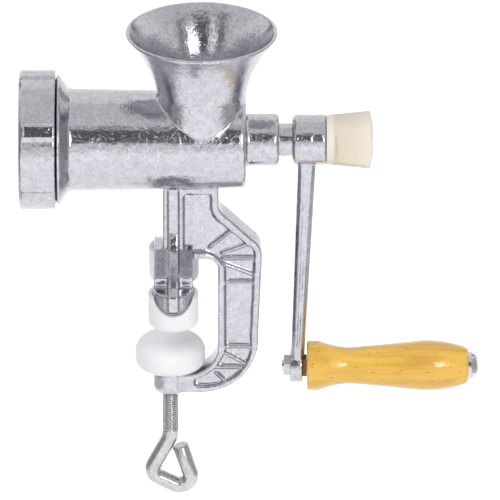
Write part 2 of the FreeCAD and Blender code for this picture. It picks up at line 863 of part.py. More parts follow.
def make_plate_pin():
    pin = doc.addObject("Part::Cylinder", "plate_pin")
    pin.Label = "plate_pin"
    pin.setExpression("Radius", d.plate_pin_radius.text)
    length = d.plate_pin_radius + d.plate_notch_depth - d.seat_clearance
    pin.setExpression("Height", length.text)
    pin.setExpression(".Placement.Base.x", (NECK_FRONT + d.plate_thickness / 2).text)
    pin.setExpression(".Placement.Base.z", (d.axis_height - d.plate_radius - d.plate_pin_radius).text)


def make_knife():
    """A cross of blades that lies on the plate and is driven by the auger's square stud."""
    body = new_body("knife")
    hub = new_sketch(body, "knife_hub", "YZ", up=d.axis_height, off=KNIFE_FRONT)
    draw_circle(hub, ZERO, ZERO, d.knife_hub_radius)
    extrude(body, hub, d.knife_thickness)
    blade = new_sketch(body, "knife_blade", "YZ", up=d.axis_height, off=KNIFE_FRONT)
    root, tip = d.knife_blade_root / 2, d.knife_blade_tip / 2
    draw_loop(blade, [
        (root, ZERO),
        (tip, d.knife_tip_radius),
        (-tip, d.knife_tip_radius),
        (-root, ZERO),
    ], {1: d.knife_tip_swell})
    first = extrude(body, blade, d.knife_thickness)
    ring_of(body, first, blade, BLADE_COUNT)
    drive = new_sketch(body, "knife_square", "YZ", up=d.axis_height, off=KNIFE_REAR)
    draw_loop(drive, square(d.stud_square / 2 + d.running_clearance))
    extrude(body, drive, d.knife_thickness, cut=True)


def make_auger_stud():
    """The steel stud in the auger's nose: a square for the knife and a journal for the plate."""
    body = turned_body("auger_stud", [
        (NECK_FRONT, ZERO),
        (NECK_FRONT, d.stud_radius),
        (KNIFE_REAR + d.stud_root_length, d.stud_radius),
        (KNIFE_REAR + d.stud_root_length, ZERO),
    ])
    drive = new_sketch(body, "stud_square", "YZ", up=d.axis_height, off=KNIFE_FRONT)
    draw_loop(drive, square(d.stud_square / 2))
    extrude(body, drive, d.knife_thickness)


def make_auger():
    """The feed screw with its shaft, drive square and the tapped hole for the thumb knob."""
    body = new_body("auger")
    sketch = new_sketch(body, "auger_core", "XZ", up=d.axis_height)
    collar_front = COLLAR_REAR - d.core_collar_length
    draw_loop(sketch, [
        (KNIFE_REAR, ZERO),
        (KNIFE_REAR, d.core_front_radius),
        (collar_front - d.core_collar_length, d.core_rear_radius),
        (collar_front, d.core_collar_radius),
        (COLLAR_REAR, d.core_collar_radius),
        (COLLAR_REAR, d.shaft_radius),
        (HUB_FRONT, d.shaft_radius),
        (HUB_FRONT, ZERO),
    ])
    turn(body, sketch, "H_Axis")
    flight = new_sketch(body, "flight_section", "XZ", across=KNIFE_REAR + d.flight_gap, up=d.axis_height)
    root, tip = d.core_rear_radius - d.flight_gap, d.flight_radius
    draw_loop(flight, [
        (ZERO, root),
        (d.flight_thickness, root),
        (d.flight_thickness * (1 - FLIGHT_TIP_TAPER), tip),
        (d.flight_thickness * FLIGHT_TIP_TAPER, tip),
    ])
    helix = body.newObject("PartDesign::AdditiveHelix", "flight")
    helix.Profile = flight
    helix.ReferenceAxis = (flight, ["H_Axis"])
    helix.Mode = "pitch-height-angle"
    helix.setExpression("Pitch", d.flight_pitch.text)
    helix.setExpression("Height", d.flight_length.text)
    helix.LeftHanded = True
    doc.recompute()
    drive = new_sketch(body, "drive_square", "YZ", up=d.axis_height, off=HUB_FRONT)
    draw_loop(drive, square(d.square_width / 2))
    extrude(body, drive, d.square_length)
    tapped = new_sketch(body, "tapped_hole", "YZ", up=d.axis_height, off=HUB_FRONT + d.square_length)
    draw_circle(tapped, ZERO, ZERO, d.knob_stud_radius + d.running_clearance)
    extrude(body, tapped, d.square_length + d.shaft_thread_depth - d.shaft_neck_length, cut=True)
    nose = new_sketch(body, "stud_hole", "YZ", up=d.axis_height, off=KNIFE_REAR)
    draw_circle(nose, ZERO, ZERO, d.stud_radius)
    extrude(body, nose, d.stud_root_length, cut=True, backwards=True)


def make_bearings():
    bore = d.shaft_radius + d.running_clearance
    turned_body("shaft_bush", [
        (BORE_END, bore),
        (BORE_END, d.bush_radius),
        (BEARING_REAR, d.bush_radius),
        (BEARING_REAR, bore),
    ])
    turned_body("thrust_washer", [
        (WASHER_FRONT, bore),
        (WASHER_FRONT, d.washer_radius),
        (BORE_END, d.washer_radius),
        (BORE_END, bore),
    ])


# Crank, thumb knob and grip

def arm_section(half_thickness, half_width):
    """A bar's section with its four corners cut off."""
    x, y, cut = half_thickness, half_width, d.arm_edge
    return [
        (x, y - cut), (x - cut, y), (cut - x, y), (-x, y - cut),
        (-x, cut - y), (cut - x, -y), (x - cut, -y), (x, cut - y),
    ]


def make_crank_arm():
    """A cast hub on the shaft's square, a tapering arm and an eye for the grip's bolt."""
    edge, depth = d.hub_edge, d.hub_groove_depth
    groove = HUB_FRONT + d.hub_groove_reach
    body = turned_body("crank_arm", [
        (HUB_FRONT, ZERO),
        (HUB_FRONT, d.hub_radius - edge),
        (HUB_FRONT + edge, d.hub_radius),
        (groove, d.hub_radius),
        (groove + d.hub_groove_width / 2, d.hub_radius - depth),
        (groove + d.hub_groove_width, d.hub_radius),
        (HUB_REAR - edge / 2, d.hub_radius),
        (HUB_REAR, d.hub_radius - edge / 2),
        (HUB_REAR, ZERO),
    ])
    root_height = d.axis_height - d.hub_radius / 2
    root = new_sketch(body, "arm_root", "XY", across=d.arm_root_reach, off=root_height)
    draw_loop(root, arm_section(d.arm_root_thickness / 2, d.arm_root_width / 2))
    tip = new_sketch(body, "arm_tip", "XY", across=d.arm_tip_reach, off=HANDLE_HEIGHT)
    draw_loop(tip, arm_section(d.arm_tip_thickness / 2, d.arm_tip_width / 2))
    bar = body.newObject("PartDesign::AdditiveLoft", "arm")
    bar.Profile = root
    bar.Sections = [tip]
    doc.recompute()
    eye = new_sketch(body, "eye_outline", "YZ", up=HANDLE_HEIGHT, off=d.eye_reach)
    draw_circle(eye, ZERO, ZERO, d.eye_radius)
    extrude(body, eye, d.eye_length)
    faces = new_sketch(body, "eye_faces", "YZ", up=HANDLE_HEIGHT, off=EYE_REAR)
    draw_circle(faces, ZERO, ZERO, d.eye_radius)
    extrude(body, faces, d.eye_length, cut=True, backwards=True)
    hole = new_sketch(body, "eye_hole", "YZ", up=HANDLE_HEIGHT, off=EYE_REAR)
    draw_circle(hole, ZERO, ZERO, d.bolt_radius + d.running_clearance)
    extrude(body, hole, d.eye_length * 2, cut=True)
    socket = new_sketch(body, "hub_square", "YZ", up=d.axis_height, off=HUB_FRONT)
    draw_loop(socket, square(d.square_width / 2 + d.running_clearance))
    extrude(body, socket, d.square_length + d.end_clearance, cut=True, backwards=True)
    through = new_sketch(body, "hub_hole", "YZ", up=d.axis_height, off=HUB_REAR)
    draw_circle(through, ZERO, ZERO, d.knob_stud_radius + d.end_clearance)
    extrude(body, through, d.hub_length, cut=True)


def make_thumb_knob():
    """A tapered plastic knob with a round collar, two flats for the fingers and a bore for its stud."""
    collar_end = KNOB_FRONT + d.knob_collar_length
    recess = d.knob_washer_radius + d.end_clearance
    recess_end = KNOB_FRONT + d.knob_washer_thickness
    hole_end = recess_end + d.knob_stud_depth
    body = turned_body("thumb_knob", [
        (KNOB_FRONT, recess),
        (KNOB_FRONT, d.knob_small_radius),
        (KNOB_REAR - d.knob_crown, d.knob_large_radius),
        (KNOB_REAR, ZERO),
        (hole_end, ZERO),
        (hole_end, d.knob_stud_radius),
        (recess_end, d.knob_stud_radius),
        (recess_end, recess),
    ], {2: -d.knob_crown_swell})
    for label, sign in (("front_flat", -1), ("rear_flat", 1)):
        flat = new_sketch(body, label, "XY", off=d.axis_height)
        near, far = d.knob_flat_half_width * sign, d.knob_large_radius * 2 * sign
        end = KNOB_REAR + d.overrun
        draw_loop(flat, [(collar_end, near), (end, near), (end, far), (collar_end, far)])
        extrude(body, flat, d.knob_large_radius * 4, cut=True, symmetric=True)


def make_knob_stud():
    recess_end = KNOB_FRONT + d.knob_washer_thickness
    start = HUB_FRONT - d.shaft_thread_depth / 2
    stud = doc.addObject("Part::Cylinder", "knob_stud")
    stud.Label = "knob_stud"
    stud.setExpression("Radius", d.knob_stud_radius.text)
    stud.setExpression("Height", (recess_end + d.knob_stud_depth - start).text)
    stud.Placement = FreeCAD.Placement(FreeCAD.Vector(), FreeCAD.Rotation(FreeCAD.Vector(0, 1, 0), 90))
    stud.setExpression(".Placement.Base.x", start.text)
    stud.setExpression(".Placement.Base.z", d.axis_height.text)


def make_knob_washer():
    bore = d.knob_stud_radius + d.end_clearance
    rear = KNOB_FRONT + d.knob_washer_thickness
    turned_body("knob_washer", [
        (KNOB_FRONT, bore),
        (KNOB_FRONT, d.knob_washer_radius),
        (rear, d.knob_washer_radius),
        (rear, bore),
    ])


def make_grip():
    """A turned wooden grip: collar, waist, belly and a smaller tail, bored for its bolt."""
    bore = d.bolt_radius + d.end_clearance
    edge = d.grip_edge_round
    collar_end = GRIP_FRONT + d.grip_collar_length
    waist_end = GRIP_FRONT + d.grip_neck_reach
    belly = GRIP_FRONT + d.grip_belly_reach
    turned_body("grip", [
        (GRIP_FRONT, bore),
        (GRIP_FRONT, d.grip_collar_radius - edge),
        (GRIP_FRONT + edge, d.grip_collar_radius),
        (collar_end, d.grip_collar_radius),
        (waist_end, d.grip_neck_radius),
        (belly, d.grip_belly_radius),
        (GRIP_REAR - edge, d.grip_tail_radius + edge / 2),
        (GRIP_REAR, d.grip_tail_radius - edge / 2),
        (GRIP_REAR, bore),
    ], {1: -rounded(edge), 3: d.grip_neck_hollow, 4: d.grip_neck_hollow / 4, 5: -d.grip_tail_swell},
        height=HANDLE_HEIGHT)


def make_handle_bolt():
    """A round-headed bolt through the grip and the crank's eye."""
    head = GRIP_REAR + d.face_clearance
    start = d.eye_reach - d.handle_nut_thickness - d.bolt_end_length
    turned_body("handle_bolt", [
        (start, ZERO),
        (start, d.bolt_radius),
        (head, d.bolt_radius),
        (head, d.bolt_head_radius),
        (head + d.bolt_head_rim, d.bolt_head_radius),
        (head + d.bolt_head_height, ZERO),
    ], {4: -d.bolt_head_swell}, height=HANDLE_HEIGHT)


def make_handle_nut():
    body = new_body("handle_nut")
    corner = d.handle_nut_flats * HEXAGON_CORNER
    front = d.eye_reach - d.handle_nut_thickness
    sketch = new_sketch(body, "nut_hexagon", "YZ", up=HANDLE_HEIGHT, off=front)
    angles = [2 * math.pi * (number + 0.5) / HEXAGON_SIDES for number in range(HEXAGON_SIDES)]
    draw_loop(sketch, [(corner * math.cos(angle), corner * math.sin(angle)) for angle in angles])
    extrude(body, sketch, d.handle_nut_thickness)
    hole = new_sketch(body, "nut_hole", "YZ", up=HANDLE_HEIGHT, off=d.eye_reach)
    draw_circle(hole, ZERO, ZERO, d.bolt_radius + d.running_clearance)
    extrude(body, hole, d.handle_nut_thickness, cut=True)


def make_grip_washer():
    bore = d.bolt_radius + d.running_clearance
    rear = EYE_REAR + d.grip_washer_thickness
    turned_body("grip_washer", [
        (EYE_REAR, bore),
        (EYE_REAR, d.grip_washer_radius),
        (rear, d.grip_washer_radius),
        (rear, bore),
    ], height=HANDLE_HEIGHT)


def build():
    make_casting()
    make_boot("front_boot", -1)
    make_boot("rear_boot", 1)
    make_clamp_pad()
    make_clamp_swivel()
    make_clamp_screw()
    make_ring_nut()
    make_hole_plate()
    make_plate_pin()
    make_knife()
    make_auger()
    make_auger_stud()
    make_bearings()
    make_crank_arm()
    make_thumb_knob()
    make_knob_stud()
    make_knob_washer()
    make_grip()
    make_handle_bolt()
    make_handle_nut()
    make_grip_washer()
    doc.recompute()


def check_and_write():
    """Stops if any object failed or any shape is bad, and then writes one file for each sub-part."""
    failed = [item.Name for item in doc.Objects if {"Invalid", "Error"} & set(item.State)]
    if failed:
        raise RuntimeError(f"objects that failed: {failed}")
    kinds = ("PartDesign::Body", "Part::Feature", "Part::Cylinder")
    pieces = [item for item in doc.Objects if item.TypeId in kinds]
    for piece in pieces:
        if piece.Shape.isNull() or not piece.Shape.isValid() or len(piece.Shape.Solids) != 1:
            raise RuntimeError(f"{piece.Label} has no single valid solid")
    os.makedirs("parts", exist_ok=True)
    for piece in pieces:
        piece.Shape.exportStep(os.path.join("parts", piece.Label + ".step"))
        print(f"{piece.Label}: {piece.Shape.Volume / 1000:.2f} cm3")


build()
check_and_write()
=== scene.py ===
"""Looks of the hand crank meat grinder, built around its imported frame. All lengths are in metres."""

import json
import math

import bmesh
import bpy
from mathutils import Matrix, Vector


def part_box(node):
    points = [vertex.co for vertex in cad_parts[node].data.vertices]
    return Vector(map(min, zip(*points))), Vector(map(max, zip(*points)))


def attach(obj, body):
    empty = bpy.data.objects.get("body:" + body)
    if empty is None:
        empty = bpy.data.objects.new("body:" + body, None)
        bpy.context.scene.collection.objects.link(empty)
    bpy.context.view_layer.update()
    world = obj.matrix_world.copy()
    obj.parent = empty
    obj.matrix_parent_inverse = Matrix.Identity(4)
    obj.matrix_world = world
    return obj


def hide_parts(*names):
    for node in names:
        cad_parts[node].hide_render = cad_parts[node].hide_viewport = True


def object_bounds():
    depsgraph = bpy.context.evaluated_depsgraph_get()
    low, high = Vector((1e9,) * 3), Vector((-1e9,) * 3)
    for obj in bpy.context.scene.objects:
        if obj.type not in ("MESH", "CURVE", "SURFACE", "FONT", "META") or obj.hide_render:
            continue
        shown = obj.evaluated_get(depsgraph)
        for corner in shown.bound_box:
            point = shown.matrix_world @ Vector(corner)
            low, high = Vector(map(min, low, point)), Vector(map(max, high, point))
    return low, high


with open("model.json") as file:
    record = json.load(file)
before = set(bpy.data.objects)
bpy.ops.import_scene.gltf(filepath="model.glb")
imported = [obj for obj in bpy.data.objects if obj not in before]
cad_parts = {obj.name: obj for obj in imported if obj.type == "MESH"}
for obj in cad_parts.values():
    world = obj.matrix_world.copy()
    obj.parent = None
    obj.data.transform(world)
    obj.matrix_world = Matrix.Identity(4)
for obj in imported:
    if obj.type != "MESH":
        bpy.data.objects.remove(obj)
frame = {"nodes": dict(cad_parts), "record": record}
cad_low, cad_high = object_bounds()

# Camera, set to the photograph's viewing angle
CAMERA_TARGET = Vector((0.040, 0.0, 0.0276))
CAMERA_ELEVATION = math.radians(24.5)
CAMERA_DISTANCE = 6.0
VIEW_WIDTH = 0.25
SENSOR_WIDTH = 36.0

# Stage
WHITE = (1, 1, 1, 1)
FLOOR_DROP = 0.16
FLOOR_LEVEL = cad_low.z - FLOOR_DROP
FLOOR_SIZE = 8.0
FLOOR_COLOUR = (0.9, 0.9, 0.9, 1)
FLOOR_ROUGHNESS = 0.9
FLOOR_GLOW = 0.46
WORLD_LIGHT = 0.60

# Lamps: place, size and watts
LAMPS = {
    "key_lamp": ((-1.2, -2.2, 2.4), 1.4, 35),
    "fill_lamp": ((2.4, -2.2, 0.9), 2.0, 32),
}

# Cards that show in gloss alone: place, width, height and level, where 1 is white
FACING_CARDS = {
    "front_card": ((0.04, -1.845, 1.226), 1.2, 1.345, 0.13),
    "gloss_card": ((0.62, -1.75, 0.90), 0.35, 0.70, 9.0),
    "left_softbox": ((-0.92, -2.04, 1.30), 0.55, 1.3, 1.5),
    "right_softbox": ((1.00, -2.04, 1.30), 0.55, 1.3, 1.5),
    "ceiling_card": ((0.04, -0.45, 2.2), 8.0, 3.2, 0.79),
    "left_front_card": ((-1.35, -1.5, 0.5), 0.60, 3.0, 0.20),
    "right_front_card": ((1.43, -1.5, 0.5), 0.60, 3.0, 0.26),
    "left_back_card": ((-1.25, 1.6, 0.5), 0.40, 3.0, 0.22),
    "right_back_card": ((1.33, 1.6, 0.5), 0.40, 3.0, 0.22),
    "left_low_card": ((-0.60, -0.05, 0.05), 0.8, 0.64, 0.38),
    "right_low_card": ((0.68, -0.05, 0.05), 0.8, 0.64, 0.50),
}
# Cards that lie just above the floor
LYING_LIFT = 0.00444
LYING_LEVEL = FLOOR_LEVEL + LYING_LIFT
LYING_CARDS = {
    "left_floor_card": ((-0.46, -0.05, LYING_LEVEL), 0.30, 0.9, 0.72),
    "right_floor_card": ((0.54, -0.05, LYING_LEVEL), 0.30, 0.9, 0.72),
}

# Colours of the finishes
ALUMINIUM_DARK, ALUMINIUM_LIGHT = (0.512, 0.506, 0.550), (0.652, 0.645, 0.698)
ALUMINIUM_RUBBED, ALUMINIUM_PIT = (0.80, 0.80, 0.81), (0.24, 0.24, 0.27, 1)
ZINC_DARK, ZINC_LIGHT = (0.44, 0.44, 0.45), (0.64, 0.64, 0.65)
TOOL_DARK, TOOL_LIGHT = (0.44, 0.44, 0.45), (0.62, 0.62, 0.63)
BRIGHT_DARK, BRIGHT_LIGHT = (0.56, 0.55, 0.54), (0.70, 0.69, 0.68)
PLASTIC_DARK, PLASTIC_LIGHT = (0.85, 0.85, 0.87), (0.90, 0.90, 0.92)
WASHER_DARK, WASHER_LIGHT = (0.24, 0.13, 0.06), (0.36, 0.20, 0.09)
# The knob's collar and rim colours are painted light: a glow through the thin collar and a highlight at
# the rim.
KNOB_COLLAR_PAINTED_GLOW, KNOB_RIM_PAINTED_HIGHLIGHT = (0.83, 0.80, 0.70), (0.82, 0.77, 0.67)
KNOB_WARM, KNOB_MIDDLE = (0.74, 0.645, 0.535), (0.77, 0.69, 0.58)
WOOD_DARK, WOOD_LIGHT = (0.77, 0.42, 0.036), (0.89, 0.535, 0.056)
WOOD_STREAK, WOOD_FLECK = (0.80, 0.73, 0.58), (0.27, 0.11, 0.02, 1)
# What leaves a colour as it is when the two are multiplied
UNCHANGED = (1.0, 1.0, 1.0)

# Plastics and shader sampling
MOULD_EDGE_ROUND = 0.0006
MOULD_ROUGHNESS = (0.50, 0.36)
WASHER_ROUGHNESS = (0.68, 0.54)
SCATTER_SHARE = 0.25
SCATTER_BY_COLOUR = (1.0, 0.9, 0.8)
SHADER_SAMPLES = 4

# Castings, each with the body that it rides on and the voxel size of its softened copy
CASTINGS = {
    "body_casting": ("housing", 0.0006),
    "ring_nut": ("ring_nut", 0.0006),
    "crank_arm": ("crank_set", 0.0004),
}
WELD_DISTANCE = 0.00001
SMOOTHING_PASSES = 8
SMOOTHING_SHARE = 0.5
FACES_KEPT = 0.38

# The crank arm, from root to tip, and the ridge with its parting line
ARM_ROOT = Vector((0.0685, 0.0, 0.088))
ARM_TIP = Vector((0.0636, 0.0, -0.036))
ARM_HALF_THICKNESS = (0.0045, 0.00325)
ARM_HALF_WIDTH = (0.0075, 0.006)
RIDGE_ENDS = (-0.027, 0.0755)
RIDGE_FADE = 0.005
RIDGE_RISE = 0.0007
PARTING_DEPTH = 0.0011
PARTING_SHARE = 0.30

# Threads and the clamp screw's bent end
METRIC_PITCH = 0.00125
THREAD_DEPTH = 0.00062
THREAD_FLANK = 1.25
THREAD_CREST = 0.12
ROD_RADIUS = 0.004
STEPS_PER_PITCH = 10
ROD_SEGMENTS = 40
RING_ANGLES = [2 * math.pi * segment / ROD_SEGMENTS for segment in range(ROD_SEGMENTS)]
ROD_TOP = -0.02905
THREAD_END = -0.0715
HOOK_CORNERS = ((0.0, -0.075), (-0.0109, -0.0954), (0.0140, -0.1080), (0.0047, -0.0802))
HOOK_BENDS = (0.014, 0.0056, 0.0056)
BEND_STEP = math.radians(5)
TIP_CHAMFER = 0.0006


def unit_share(value):
    """The value, kept between 0 and 1."""
    return min(1.0, max(0.0, value))


def between(ends, share):
    """The number that lies at a share of the way from the first end to the second."""
    return ends[0] + (ends[1] - ends[0]) * share


def link_to_scene(thing):
    """Puts an object into the scene."""
    bpy.context.scene.collection.objects.link(thing)


def facing_target(place):
    """The rotation that turns a lamp, card or camera at a place towards the object."""
    return (CAMERA_TARGET - Vector(place)).to_track_quat("-Z", "Y").to_euler()


class Finish:
    """A material under construction: its tree, its main shader and short calls for its nodes."""

    def __init__(self, name):
        self.material = bpy.data.materials.new(name)
        self.material.use_nodes = True
        self.tree = self.material.node_tree
        self.shader = self.tree.nodes["Principled BSDF"]

    def put(self, socket, value):
        """Links an output socket to an input, or sets the input's own value."""
        if isinstance(value, bpy.types.NodeSocket):
            self.tree.links.new(value, socket)
        else:
            socket.default_value = value

    def node(self, kind, inputs=None, **settings):
        """Adds a node with its settings and the inputs that are given by name."""
        made = self.tree.nodes.new(kind)
        for name, value in settings.items():
            setattr(made, name, value)
        for name, value in (inputs or {}).items():
            self.put(made.inputs[name], value)
        return made

    def surface(self, **values):
        """Sets the main shader's inputs, with words joined by _ for the socket's name."""
        for name, value in values.items():
            self.put(self.shader.inputs[name.replace("_", " ")], value)

    def output(self, shader):
        """Makes a shader's output the material's surface."""
        self.put(self.tree.nodes["Material Output"].inputs["Surface"], shader)

    def glow(self, strength):
        """A white glow of the given strength."""
        return self.node("ShaderNodeEmission", {"Color": WHITE, "Strength": strength}).outputs["Emission"]

    def place(self, scale=(1, 1, 1)):
        """The piece's own coordinates in metres, stretched by scale."""
        own = self.node("ShaderNodeTexCoord").outputs["Object"]
        return self.node("ShaderNodeMapping", {"Vector": own, "Scale": scale}).outputs["Vector"]

    def noise(self, scale, detail=3.0, rough=0.55, stretch=(1, 1, 1)):
        """Cloudy noise with about as many spots to the metre as its scale says."""
        inputs = {"Scale": scale, "Detail": detail, "Roughness": rough, "Vector": self.place(stretch)}
        return self.node("ShaderNodeTexNoise", inputs).outputs["Fac"]

    def cells(self, scale, stretch=(1, 1, 1)):
        """The distance to the nearest of scattered points."""
        inputs = {"Scale": scale, "Vector": self.place(stretch)}
        return self.node("ShaderNodeTexVoronoi", inputs).outputs["Distance"]

    def ramp(self, value, *stops):
        """Maps a number to numbers or colours by (place, value) stops."""
        made = self.node("ShaderNodeValToRGB", {"Fac": value})
        points = made.color_ramp.elements
        while len(points) < len(stops):
            points.new(0.5)
        for point, (place, colour) in zip(points, stops):
            point.position = place
            point.color = (*colour, 1) if isinstance(colour, tuple) else (colour, colour, colour, 1)
        return made.outputs["Color"]

    def sums(self, operation, first, second):
        """The result of a named sum on two numbers."""
        made = self.node("ShaderNodeMath", operation=operation)
        self.put(made.inputs[0], first)
        self.put(made.inputs[1], second)
        return made.outputs["Value"]

    def mix(self, share, first, second, blend="MIX"):
        """Two colours blended by a share of the second."""
        made = self.node("ShaderNodeMix", {"Factor": share}, data_type="RGBA", blend_type=blend)
        colours = [item for item in made.inputs if item.type == "RGBA"]
        self.put(colours[0], first)
        self.put(colours[1], second)
        return next(item for item in made.outputs if item.type == "RGBA")

    def soft_edges(self, radius):
        """Normals that round off the edges of a moulded piece."""
        return self.node("ShaderNodeBevel", {"Radius": radius}, samples=SHADER_SAMPLES).outputs["Normal"]

    def openness(self, distance):
        """1 on open faces and less in corners and hollows."""
        inputs = {"Distance": distance}
        return self.node("ShaderNodeAmbientOcclusion", inputs, samples=SHADER_SAMPLES).outputs["AO"]

    def bump(self, height, depth, strength, under=None):
        """Relief of the given depth in metres, on top of another relief."""
        inputs = {"Height": height, "Distance": depth, "Strength": strength}
        if under is not None:
            inputs["Normal"] = under
        return self.node("ShaderNodeBump", inputs).outputs["Normal"]


def cast_aluminium():
    """Tumbled and polished die casting: wavy gloss, fine grain, scuffs, small dark pits, and painted shade
    darkening its corners and hollows.
    """
    finish = Finish("cast_aluminium_finish")
    waves = finish.noise(scale=75, detail=3.0, rough=0.6)
    dimples = finish.noise(scale=560, detail=3.0, rough=0.65)
    grain = finish.noise(scale=1500, detail=4.0, rough=0.7)
    scuffs = finish.noise(scale=260, detail=5.0, rough=0.75)
    rubs = finish.noise(scale=330, detail=4.0, rough=0.75, stretch=(1, 0.12, 0.3))
    pits = finish.ramp(finish.cells(scale=460), (0.06, 0.0), (0.20, 1.0))
    rare = finish.ramp(finish.noise(scale=170, detail=2.0), (0.46, 0.0), (0.56, 1.0))
    pitted = finish.sums("MULTIPLY", finish.sums("SUBTRACT", 1.0, pits), rare)
    colour = finish.ramp(scuffs, (0.30, ALUMINIUM_DARK), (0.64, ALUMINIUM_LIGHT))
    streaks = finish.ramp(rubs, (0.34, ALUMINIUM_RUBBED), (0.56, UNCHANGED))
    colour = finish.mix(0.3, colour, streaks, "MULTIPLY")
    speckle = finish.ramp(finish.noise(scale=950, detail=4.0, rough=0.8), (0.36, 0.78), (0.60, 1.0))
    colour = finish.mix(1.0, colour, speckle, "MULTIPLY")
    colour = finish.mix(pitted, colour, ALUMINIUM_PIT)
    # Painted shade: the colour is darkened where corners and hollows are closed in, standing in for the
    # shade that falls there.
    corners = finish.ramp(finish.openness(distance=0.0020), (0.30, 0.85), (0.75, 1.0))
    colour = finish.mix(1.0, colour, corners, "MULTIPLY")
    gloss = finish.ramp(scuffs, (0.35, 0.15), (0.70, 0.06))
    relief = finish.bump(waves, depth=0.0011, strength=0.4)
    relief = finish.bump(scuffs, depth=0.00026, strength=0.45, under=relief)
    relief = finish.bump(dimples, depth=0.00014, strength=0.62, under=relief)
    relief = finish.bump(rubs, depth=0.0001, strength=0.15, under=relief)
    relief = finish.bump(grain, depth=0.00005, strength=0.4, under=relief)
    relief = finish.bump(pits, depth=0.0002, strength=0.3, under=relief)
    finish.surface(Base_Color=colour, Metallic=1.0, Roughness=gloss, Normal=relief)
    return finish.material


def zinc_steel():
    """Zinc plating with a faint mottle."""
    finish = Finish("zinc_steel_finish")
    mottle = finish.noise(scale=420, detail=5.0, rough=0.7)
    colour = finish.ramp(mottle, (0.30, ZINC_DARK), (0.68, ZINC_LIGHT))
    gloss = finish.ramp(mottle, (0.35, 0.30), (0.70, 0.16))
    relief = finish.bump(mottle, depth=0.00008, strength=0.4)
    finish.surface(Base_Color=colour, Metallic=1.0, Roughness=gloss, Normal=relief)
    return finish.material


def tool_steel():
    """Ground steel with fine parallel grinding marks."""
    finish = Finish("tool_steel_finish")
    marks = finish.noise(scale=90, detail=4.0, rough=0.7, stretch=(1, 30, 1))
    colour = finish.ramp(marks, (0.30, TOOL_DARK), (0.70, TOOL_LIGHT))
    gloss = finish.ramp(marks, (0.30, 0.38), (0.70, 0.25))
    relief = finish.bump(marks, depth=0.00003, strength=0.5)
    finish.surface(Base_Color=colour, Metallic=1.0, Roughness=gloss, Normal=relief)
    return finish.material


def bright_steel():
    """Bright plating with light handling marks."""
    finish = Finish("bright_steel_finish")
    marks = finish.noise(scale=600, detail=4.0, rough=0.7)
    colour = finish.ramp(marks, (0.30, BRIGHT_DARK), (0.70, BRIGHT_LIGHT))
    gloss = finish.ramp(marks, (0.30, 0.16), (0.70, 0.08))
    relief = finish.bump(marks, depth=0.00003, strength=0.3)
    finish.surface(Base_Color=colour, Metallic=1.0, Roughness=gloss, Normal=relief)
    return finish.material


def mould_mottle(finish):
    """The soft unevenness of moulded plastic."""
    return finish.noise(scale=130, detail=3.0)


def mottled(dark, light):
    """A function that gives a finish a mottle of two colours."""
    return lambda finish: finish.ramp(mould_mottle(finish), (0.32, dark), (0.66, light))


def knob_colour_with_painted_light(finish):
    """Paler at the thumb knob's collar and rim, and warmer between them: the pale collar is a painted glow
    of light through its thin plastic, and the pale rim is a painted highlight.
    """
    low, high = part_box("thumb_knob")
    across = finish.node("ShaderNodeSeparateXYZ", {"Vector": finish.place()}).outputs["X"]
    share = finish.node("ShaderNodeMapRange", {"Value": across, "From Min": low.x, "From Max": high.x})
    # The paler collar and rim stops are painted light, not the plastic's own colour.
    stops = ((0.13, KNOB_COLLAR_PAINTED_GLOW), (0.16, KNOB_WARM), (0.60, KNOB_MIDDLE), (1.0, KNOB_RIM_PAINTED_HIGHLIGHT))
    return finish.ramp(share.outputs["Result"], *stops)


def moulded_plastic(name, colour_of, rough, scatter):
    """Moulded plastic with a fine skin, between two roughnesses, and light scattered below its surface."""
    finish = Finish(name)
    skin = finish.noise(scale=900, detail=3.0, rough=0.6)
    gloss = finish.ramp(skin, (0.30, rough[0]), (0.70, rough[1]))
    edges = finish.soft_edges(MOULD_EDGE_ROUND)
    relief = finish.bump(mould_mottle(finish), depth=0.0004, strength=0.15, under=edges)
    relief = finish.bump(skin, depth=0.00003, strength=0.3, under=relief)
    finish.surface(Base_Color=colour_of(finish), Roughness=gloss, Normal=relief)
    finish.surface(Subsurface_Weight=SCATTER_SHARE, Subsurface_Radius=SCATTER_BY_COLOUR)
    finish.surface(Subsurface_Scale=scatter)
    return finish.material


def varnished_wood():
    """Yellow varnished wood: long grain, short dark flecks and a glossy coat."""
    finish = Finish("varnished_wood_finish")
    grain = finish.noise(scale=260, detail=4.0, rough=0.6, stretch=(0.06, 1, 1))
    broad = finish.noise(scale=60, detail=3.0, rough=0.5, stretch=(0.25, 1, 1))
    flecks = finish.ramp(finish.cells(scale=620, stretch=(0.30, 1, 1)), (0.06, 1.0), (0.20, 0.0))
    sparse = finish.ramp(finish.noise(scale=190, detail=2.0), (0.42, 0.0), (0.52, 1.0))
    colour = finish.ramp(broad, (0.30, WOOD_DARK), (0.70, WOOD_LIGHT))
    streaks = finish.ramp(grain, (0.36, WOOD_STREAK), (0.58, UNCHANGED))
    colour = finish.mix(0.85, colour, streaks, "MULTIPLY")
    colour = finish.mix(finish.sums("MULTIPLY", flecks, sparse), colour, WOOD_FLECK)
    relief = finish.bump(grain, depth=0.00006, strength=0.4)
    finish.surface(Base_Color=colour, Roughness=0.42, Normal=relief)
    finish.surface(Coat_Weight=1.0, Coat_Roughness=0.08)
    return finish.material


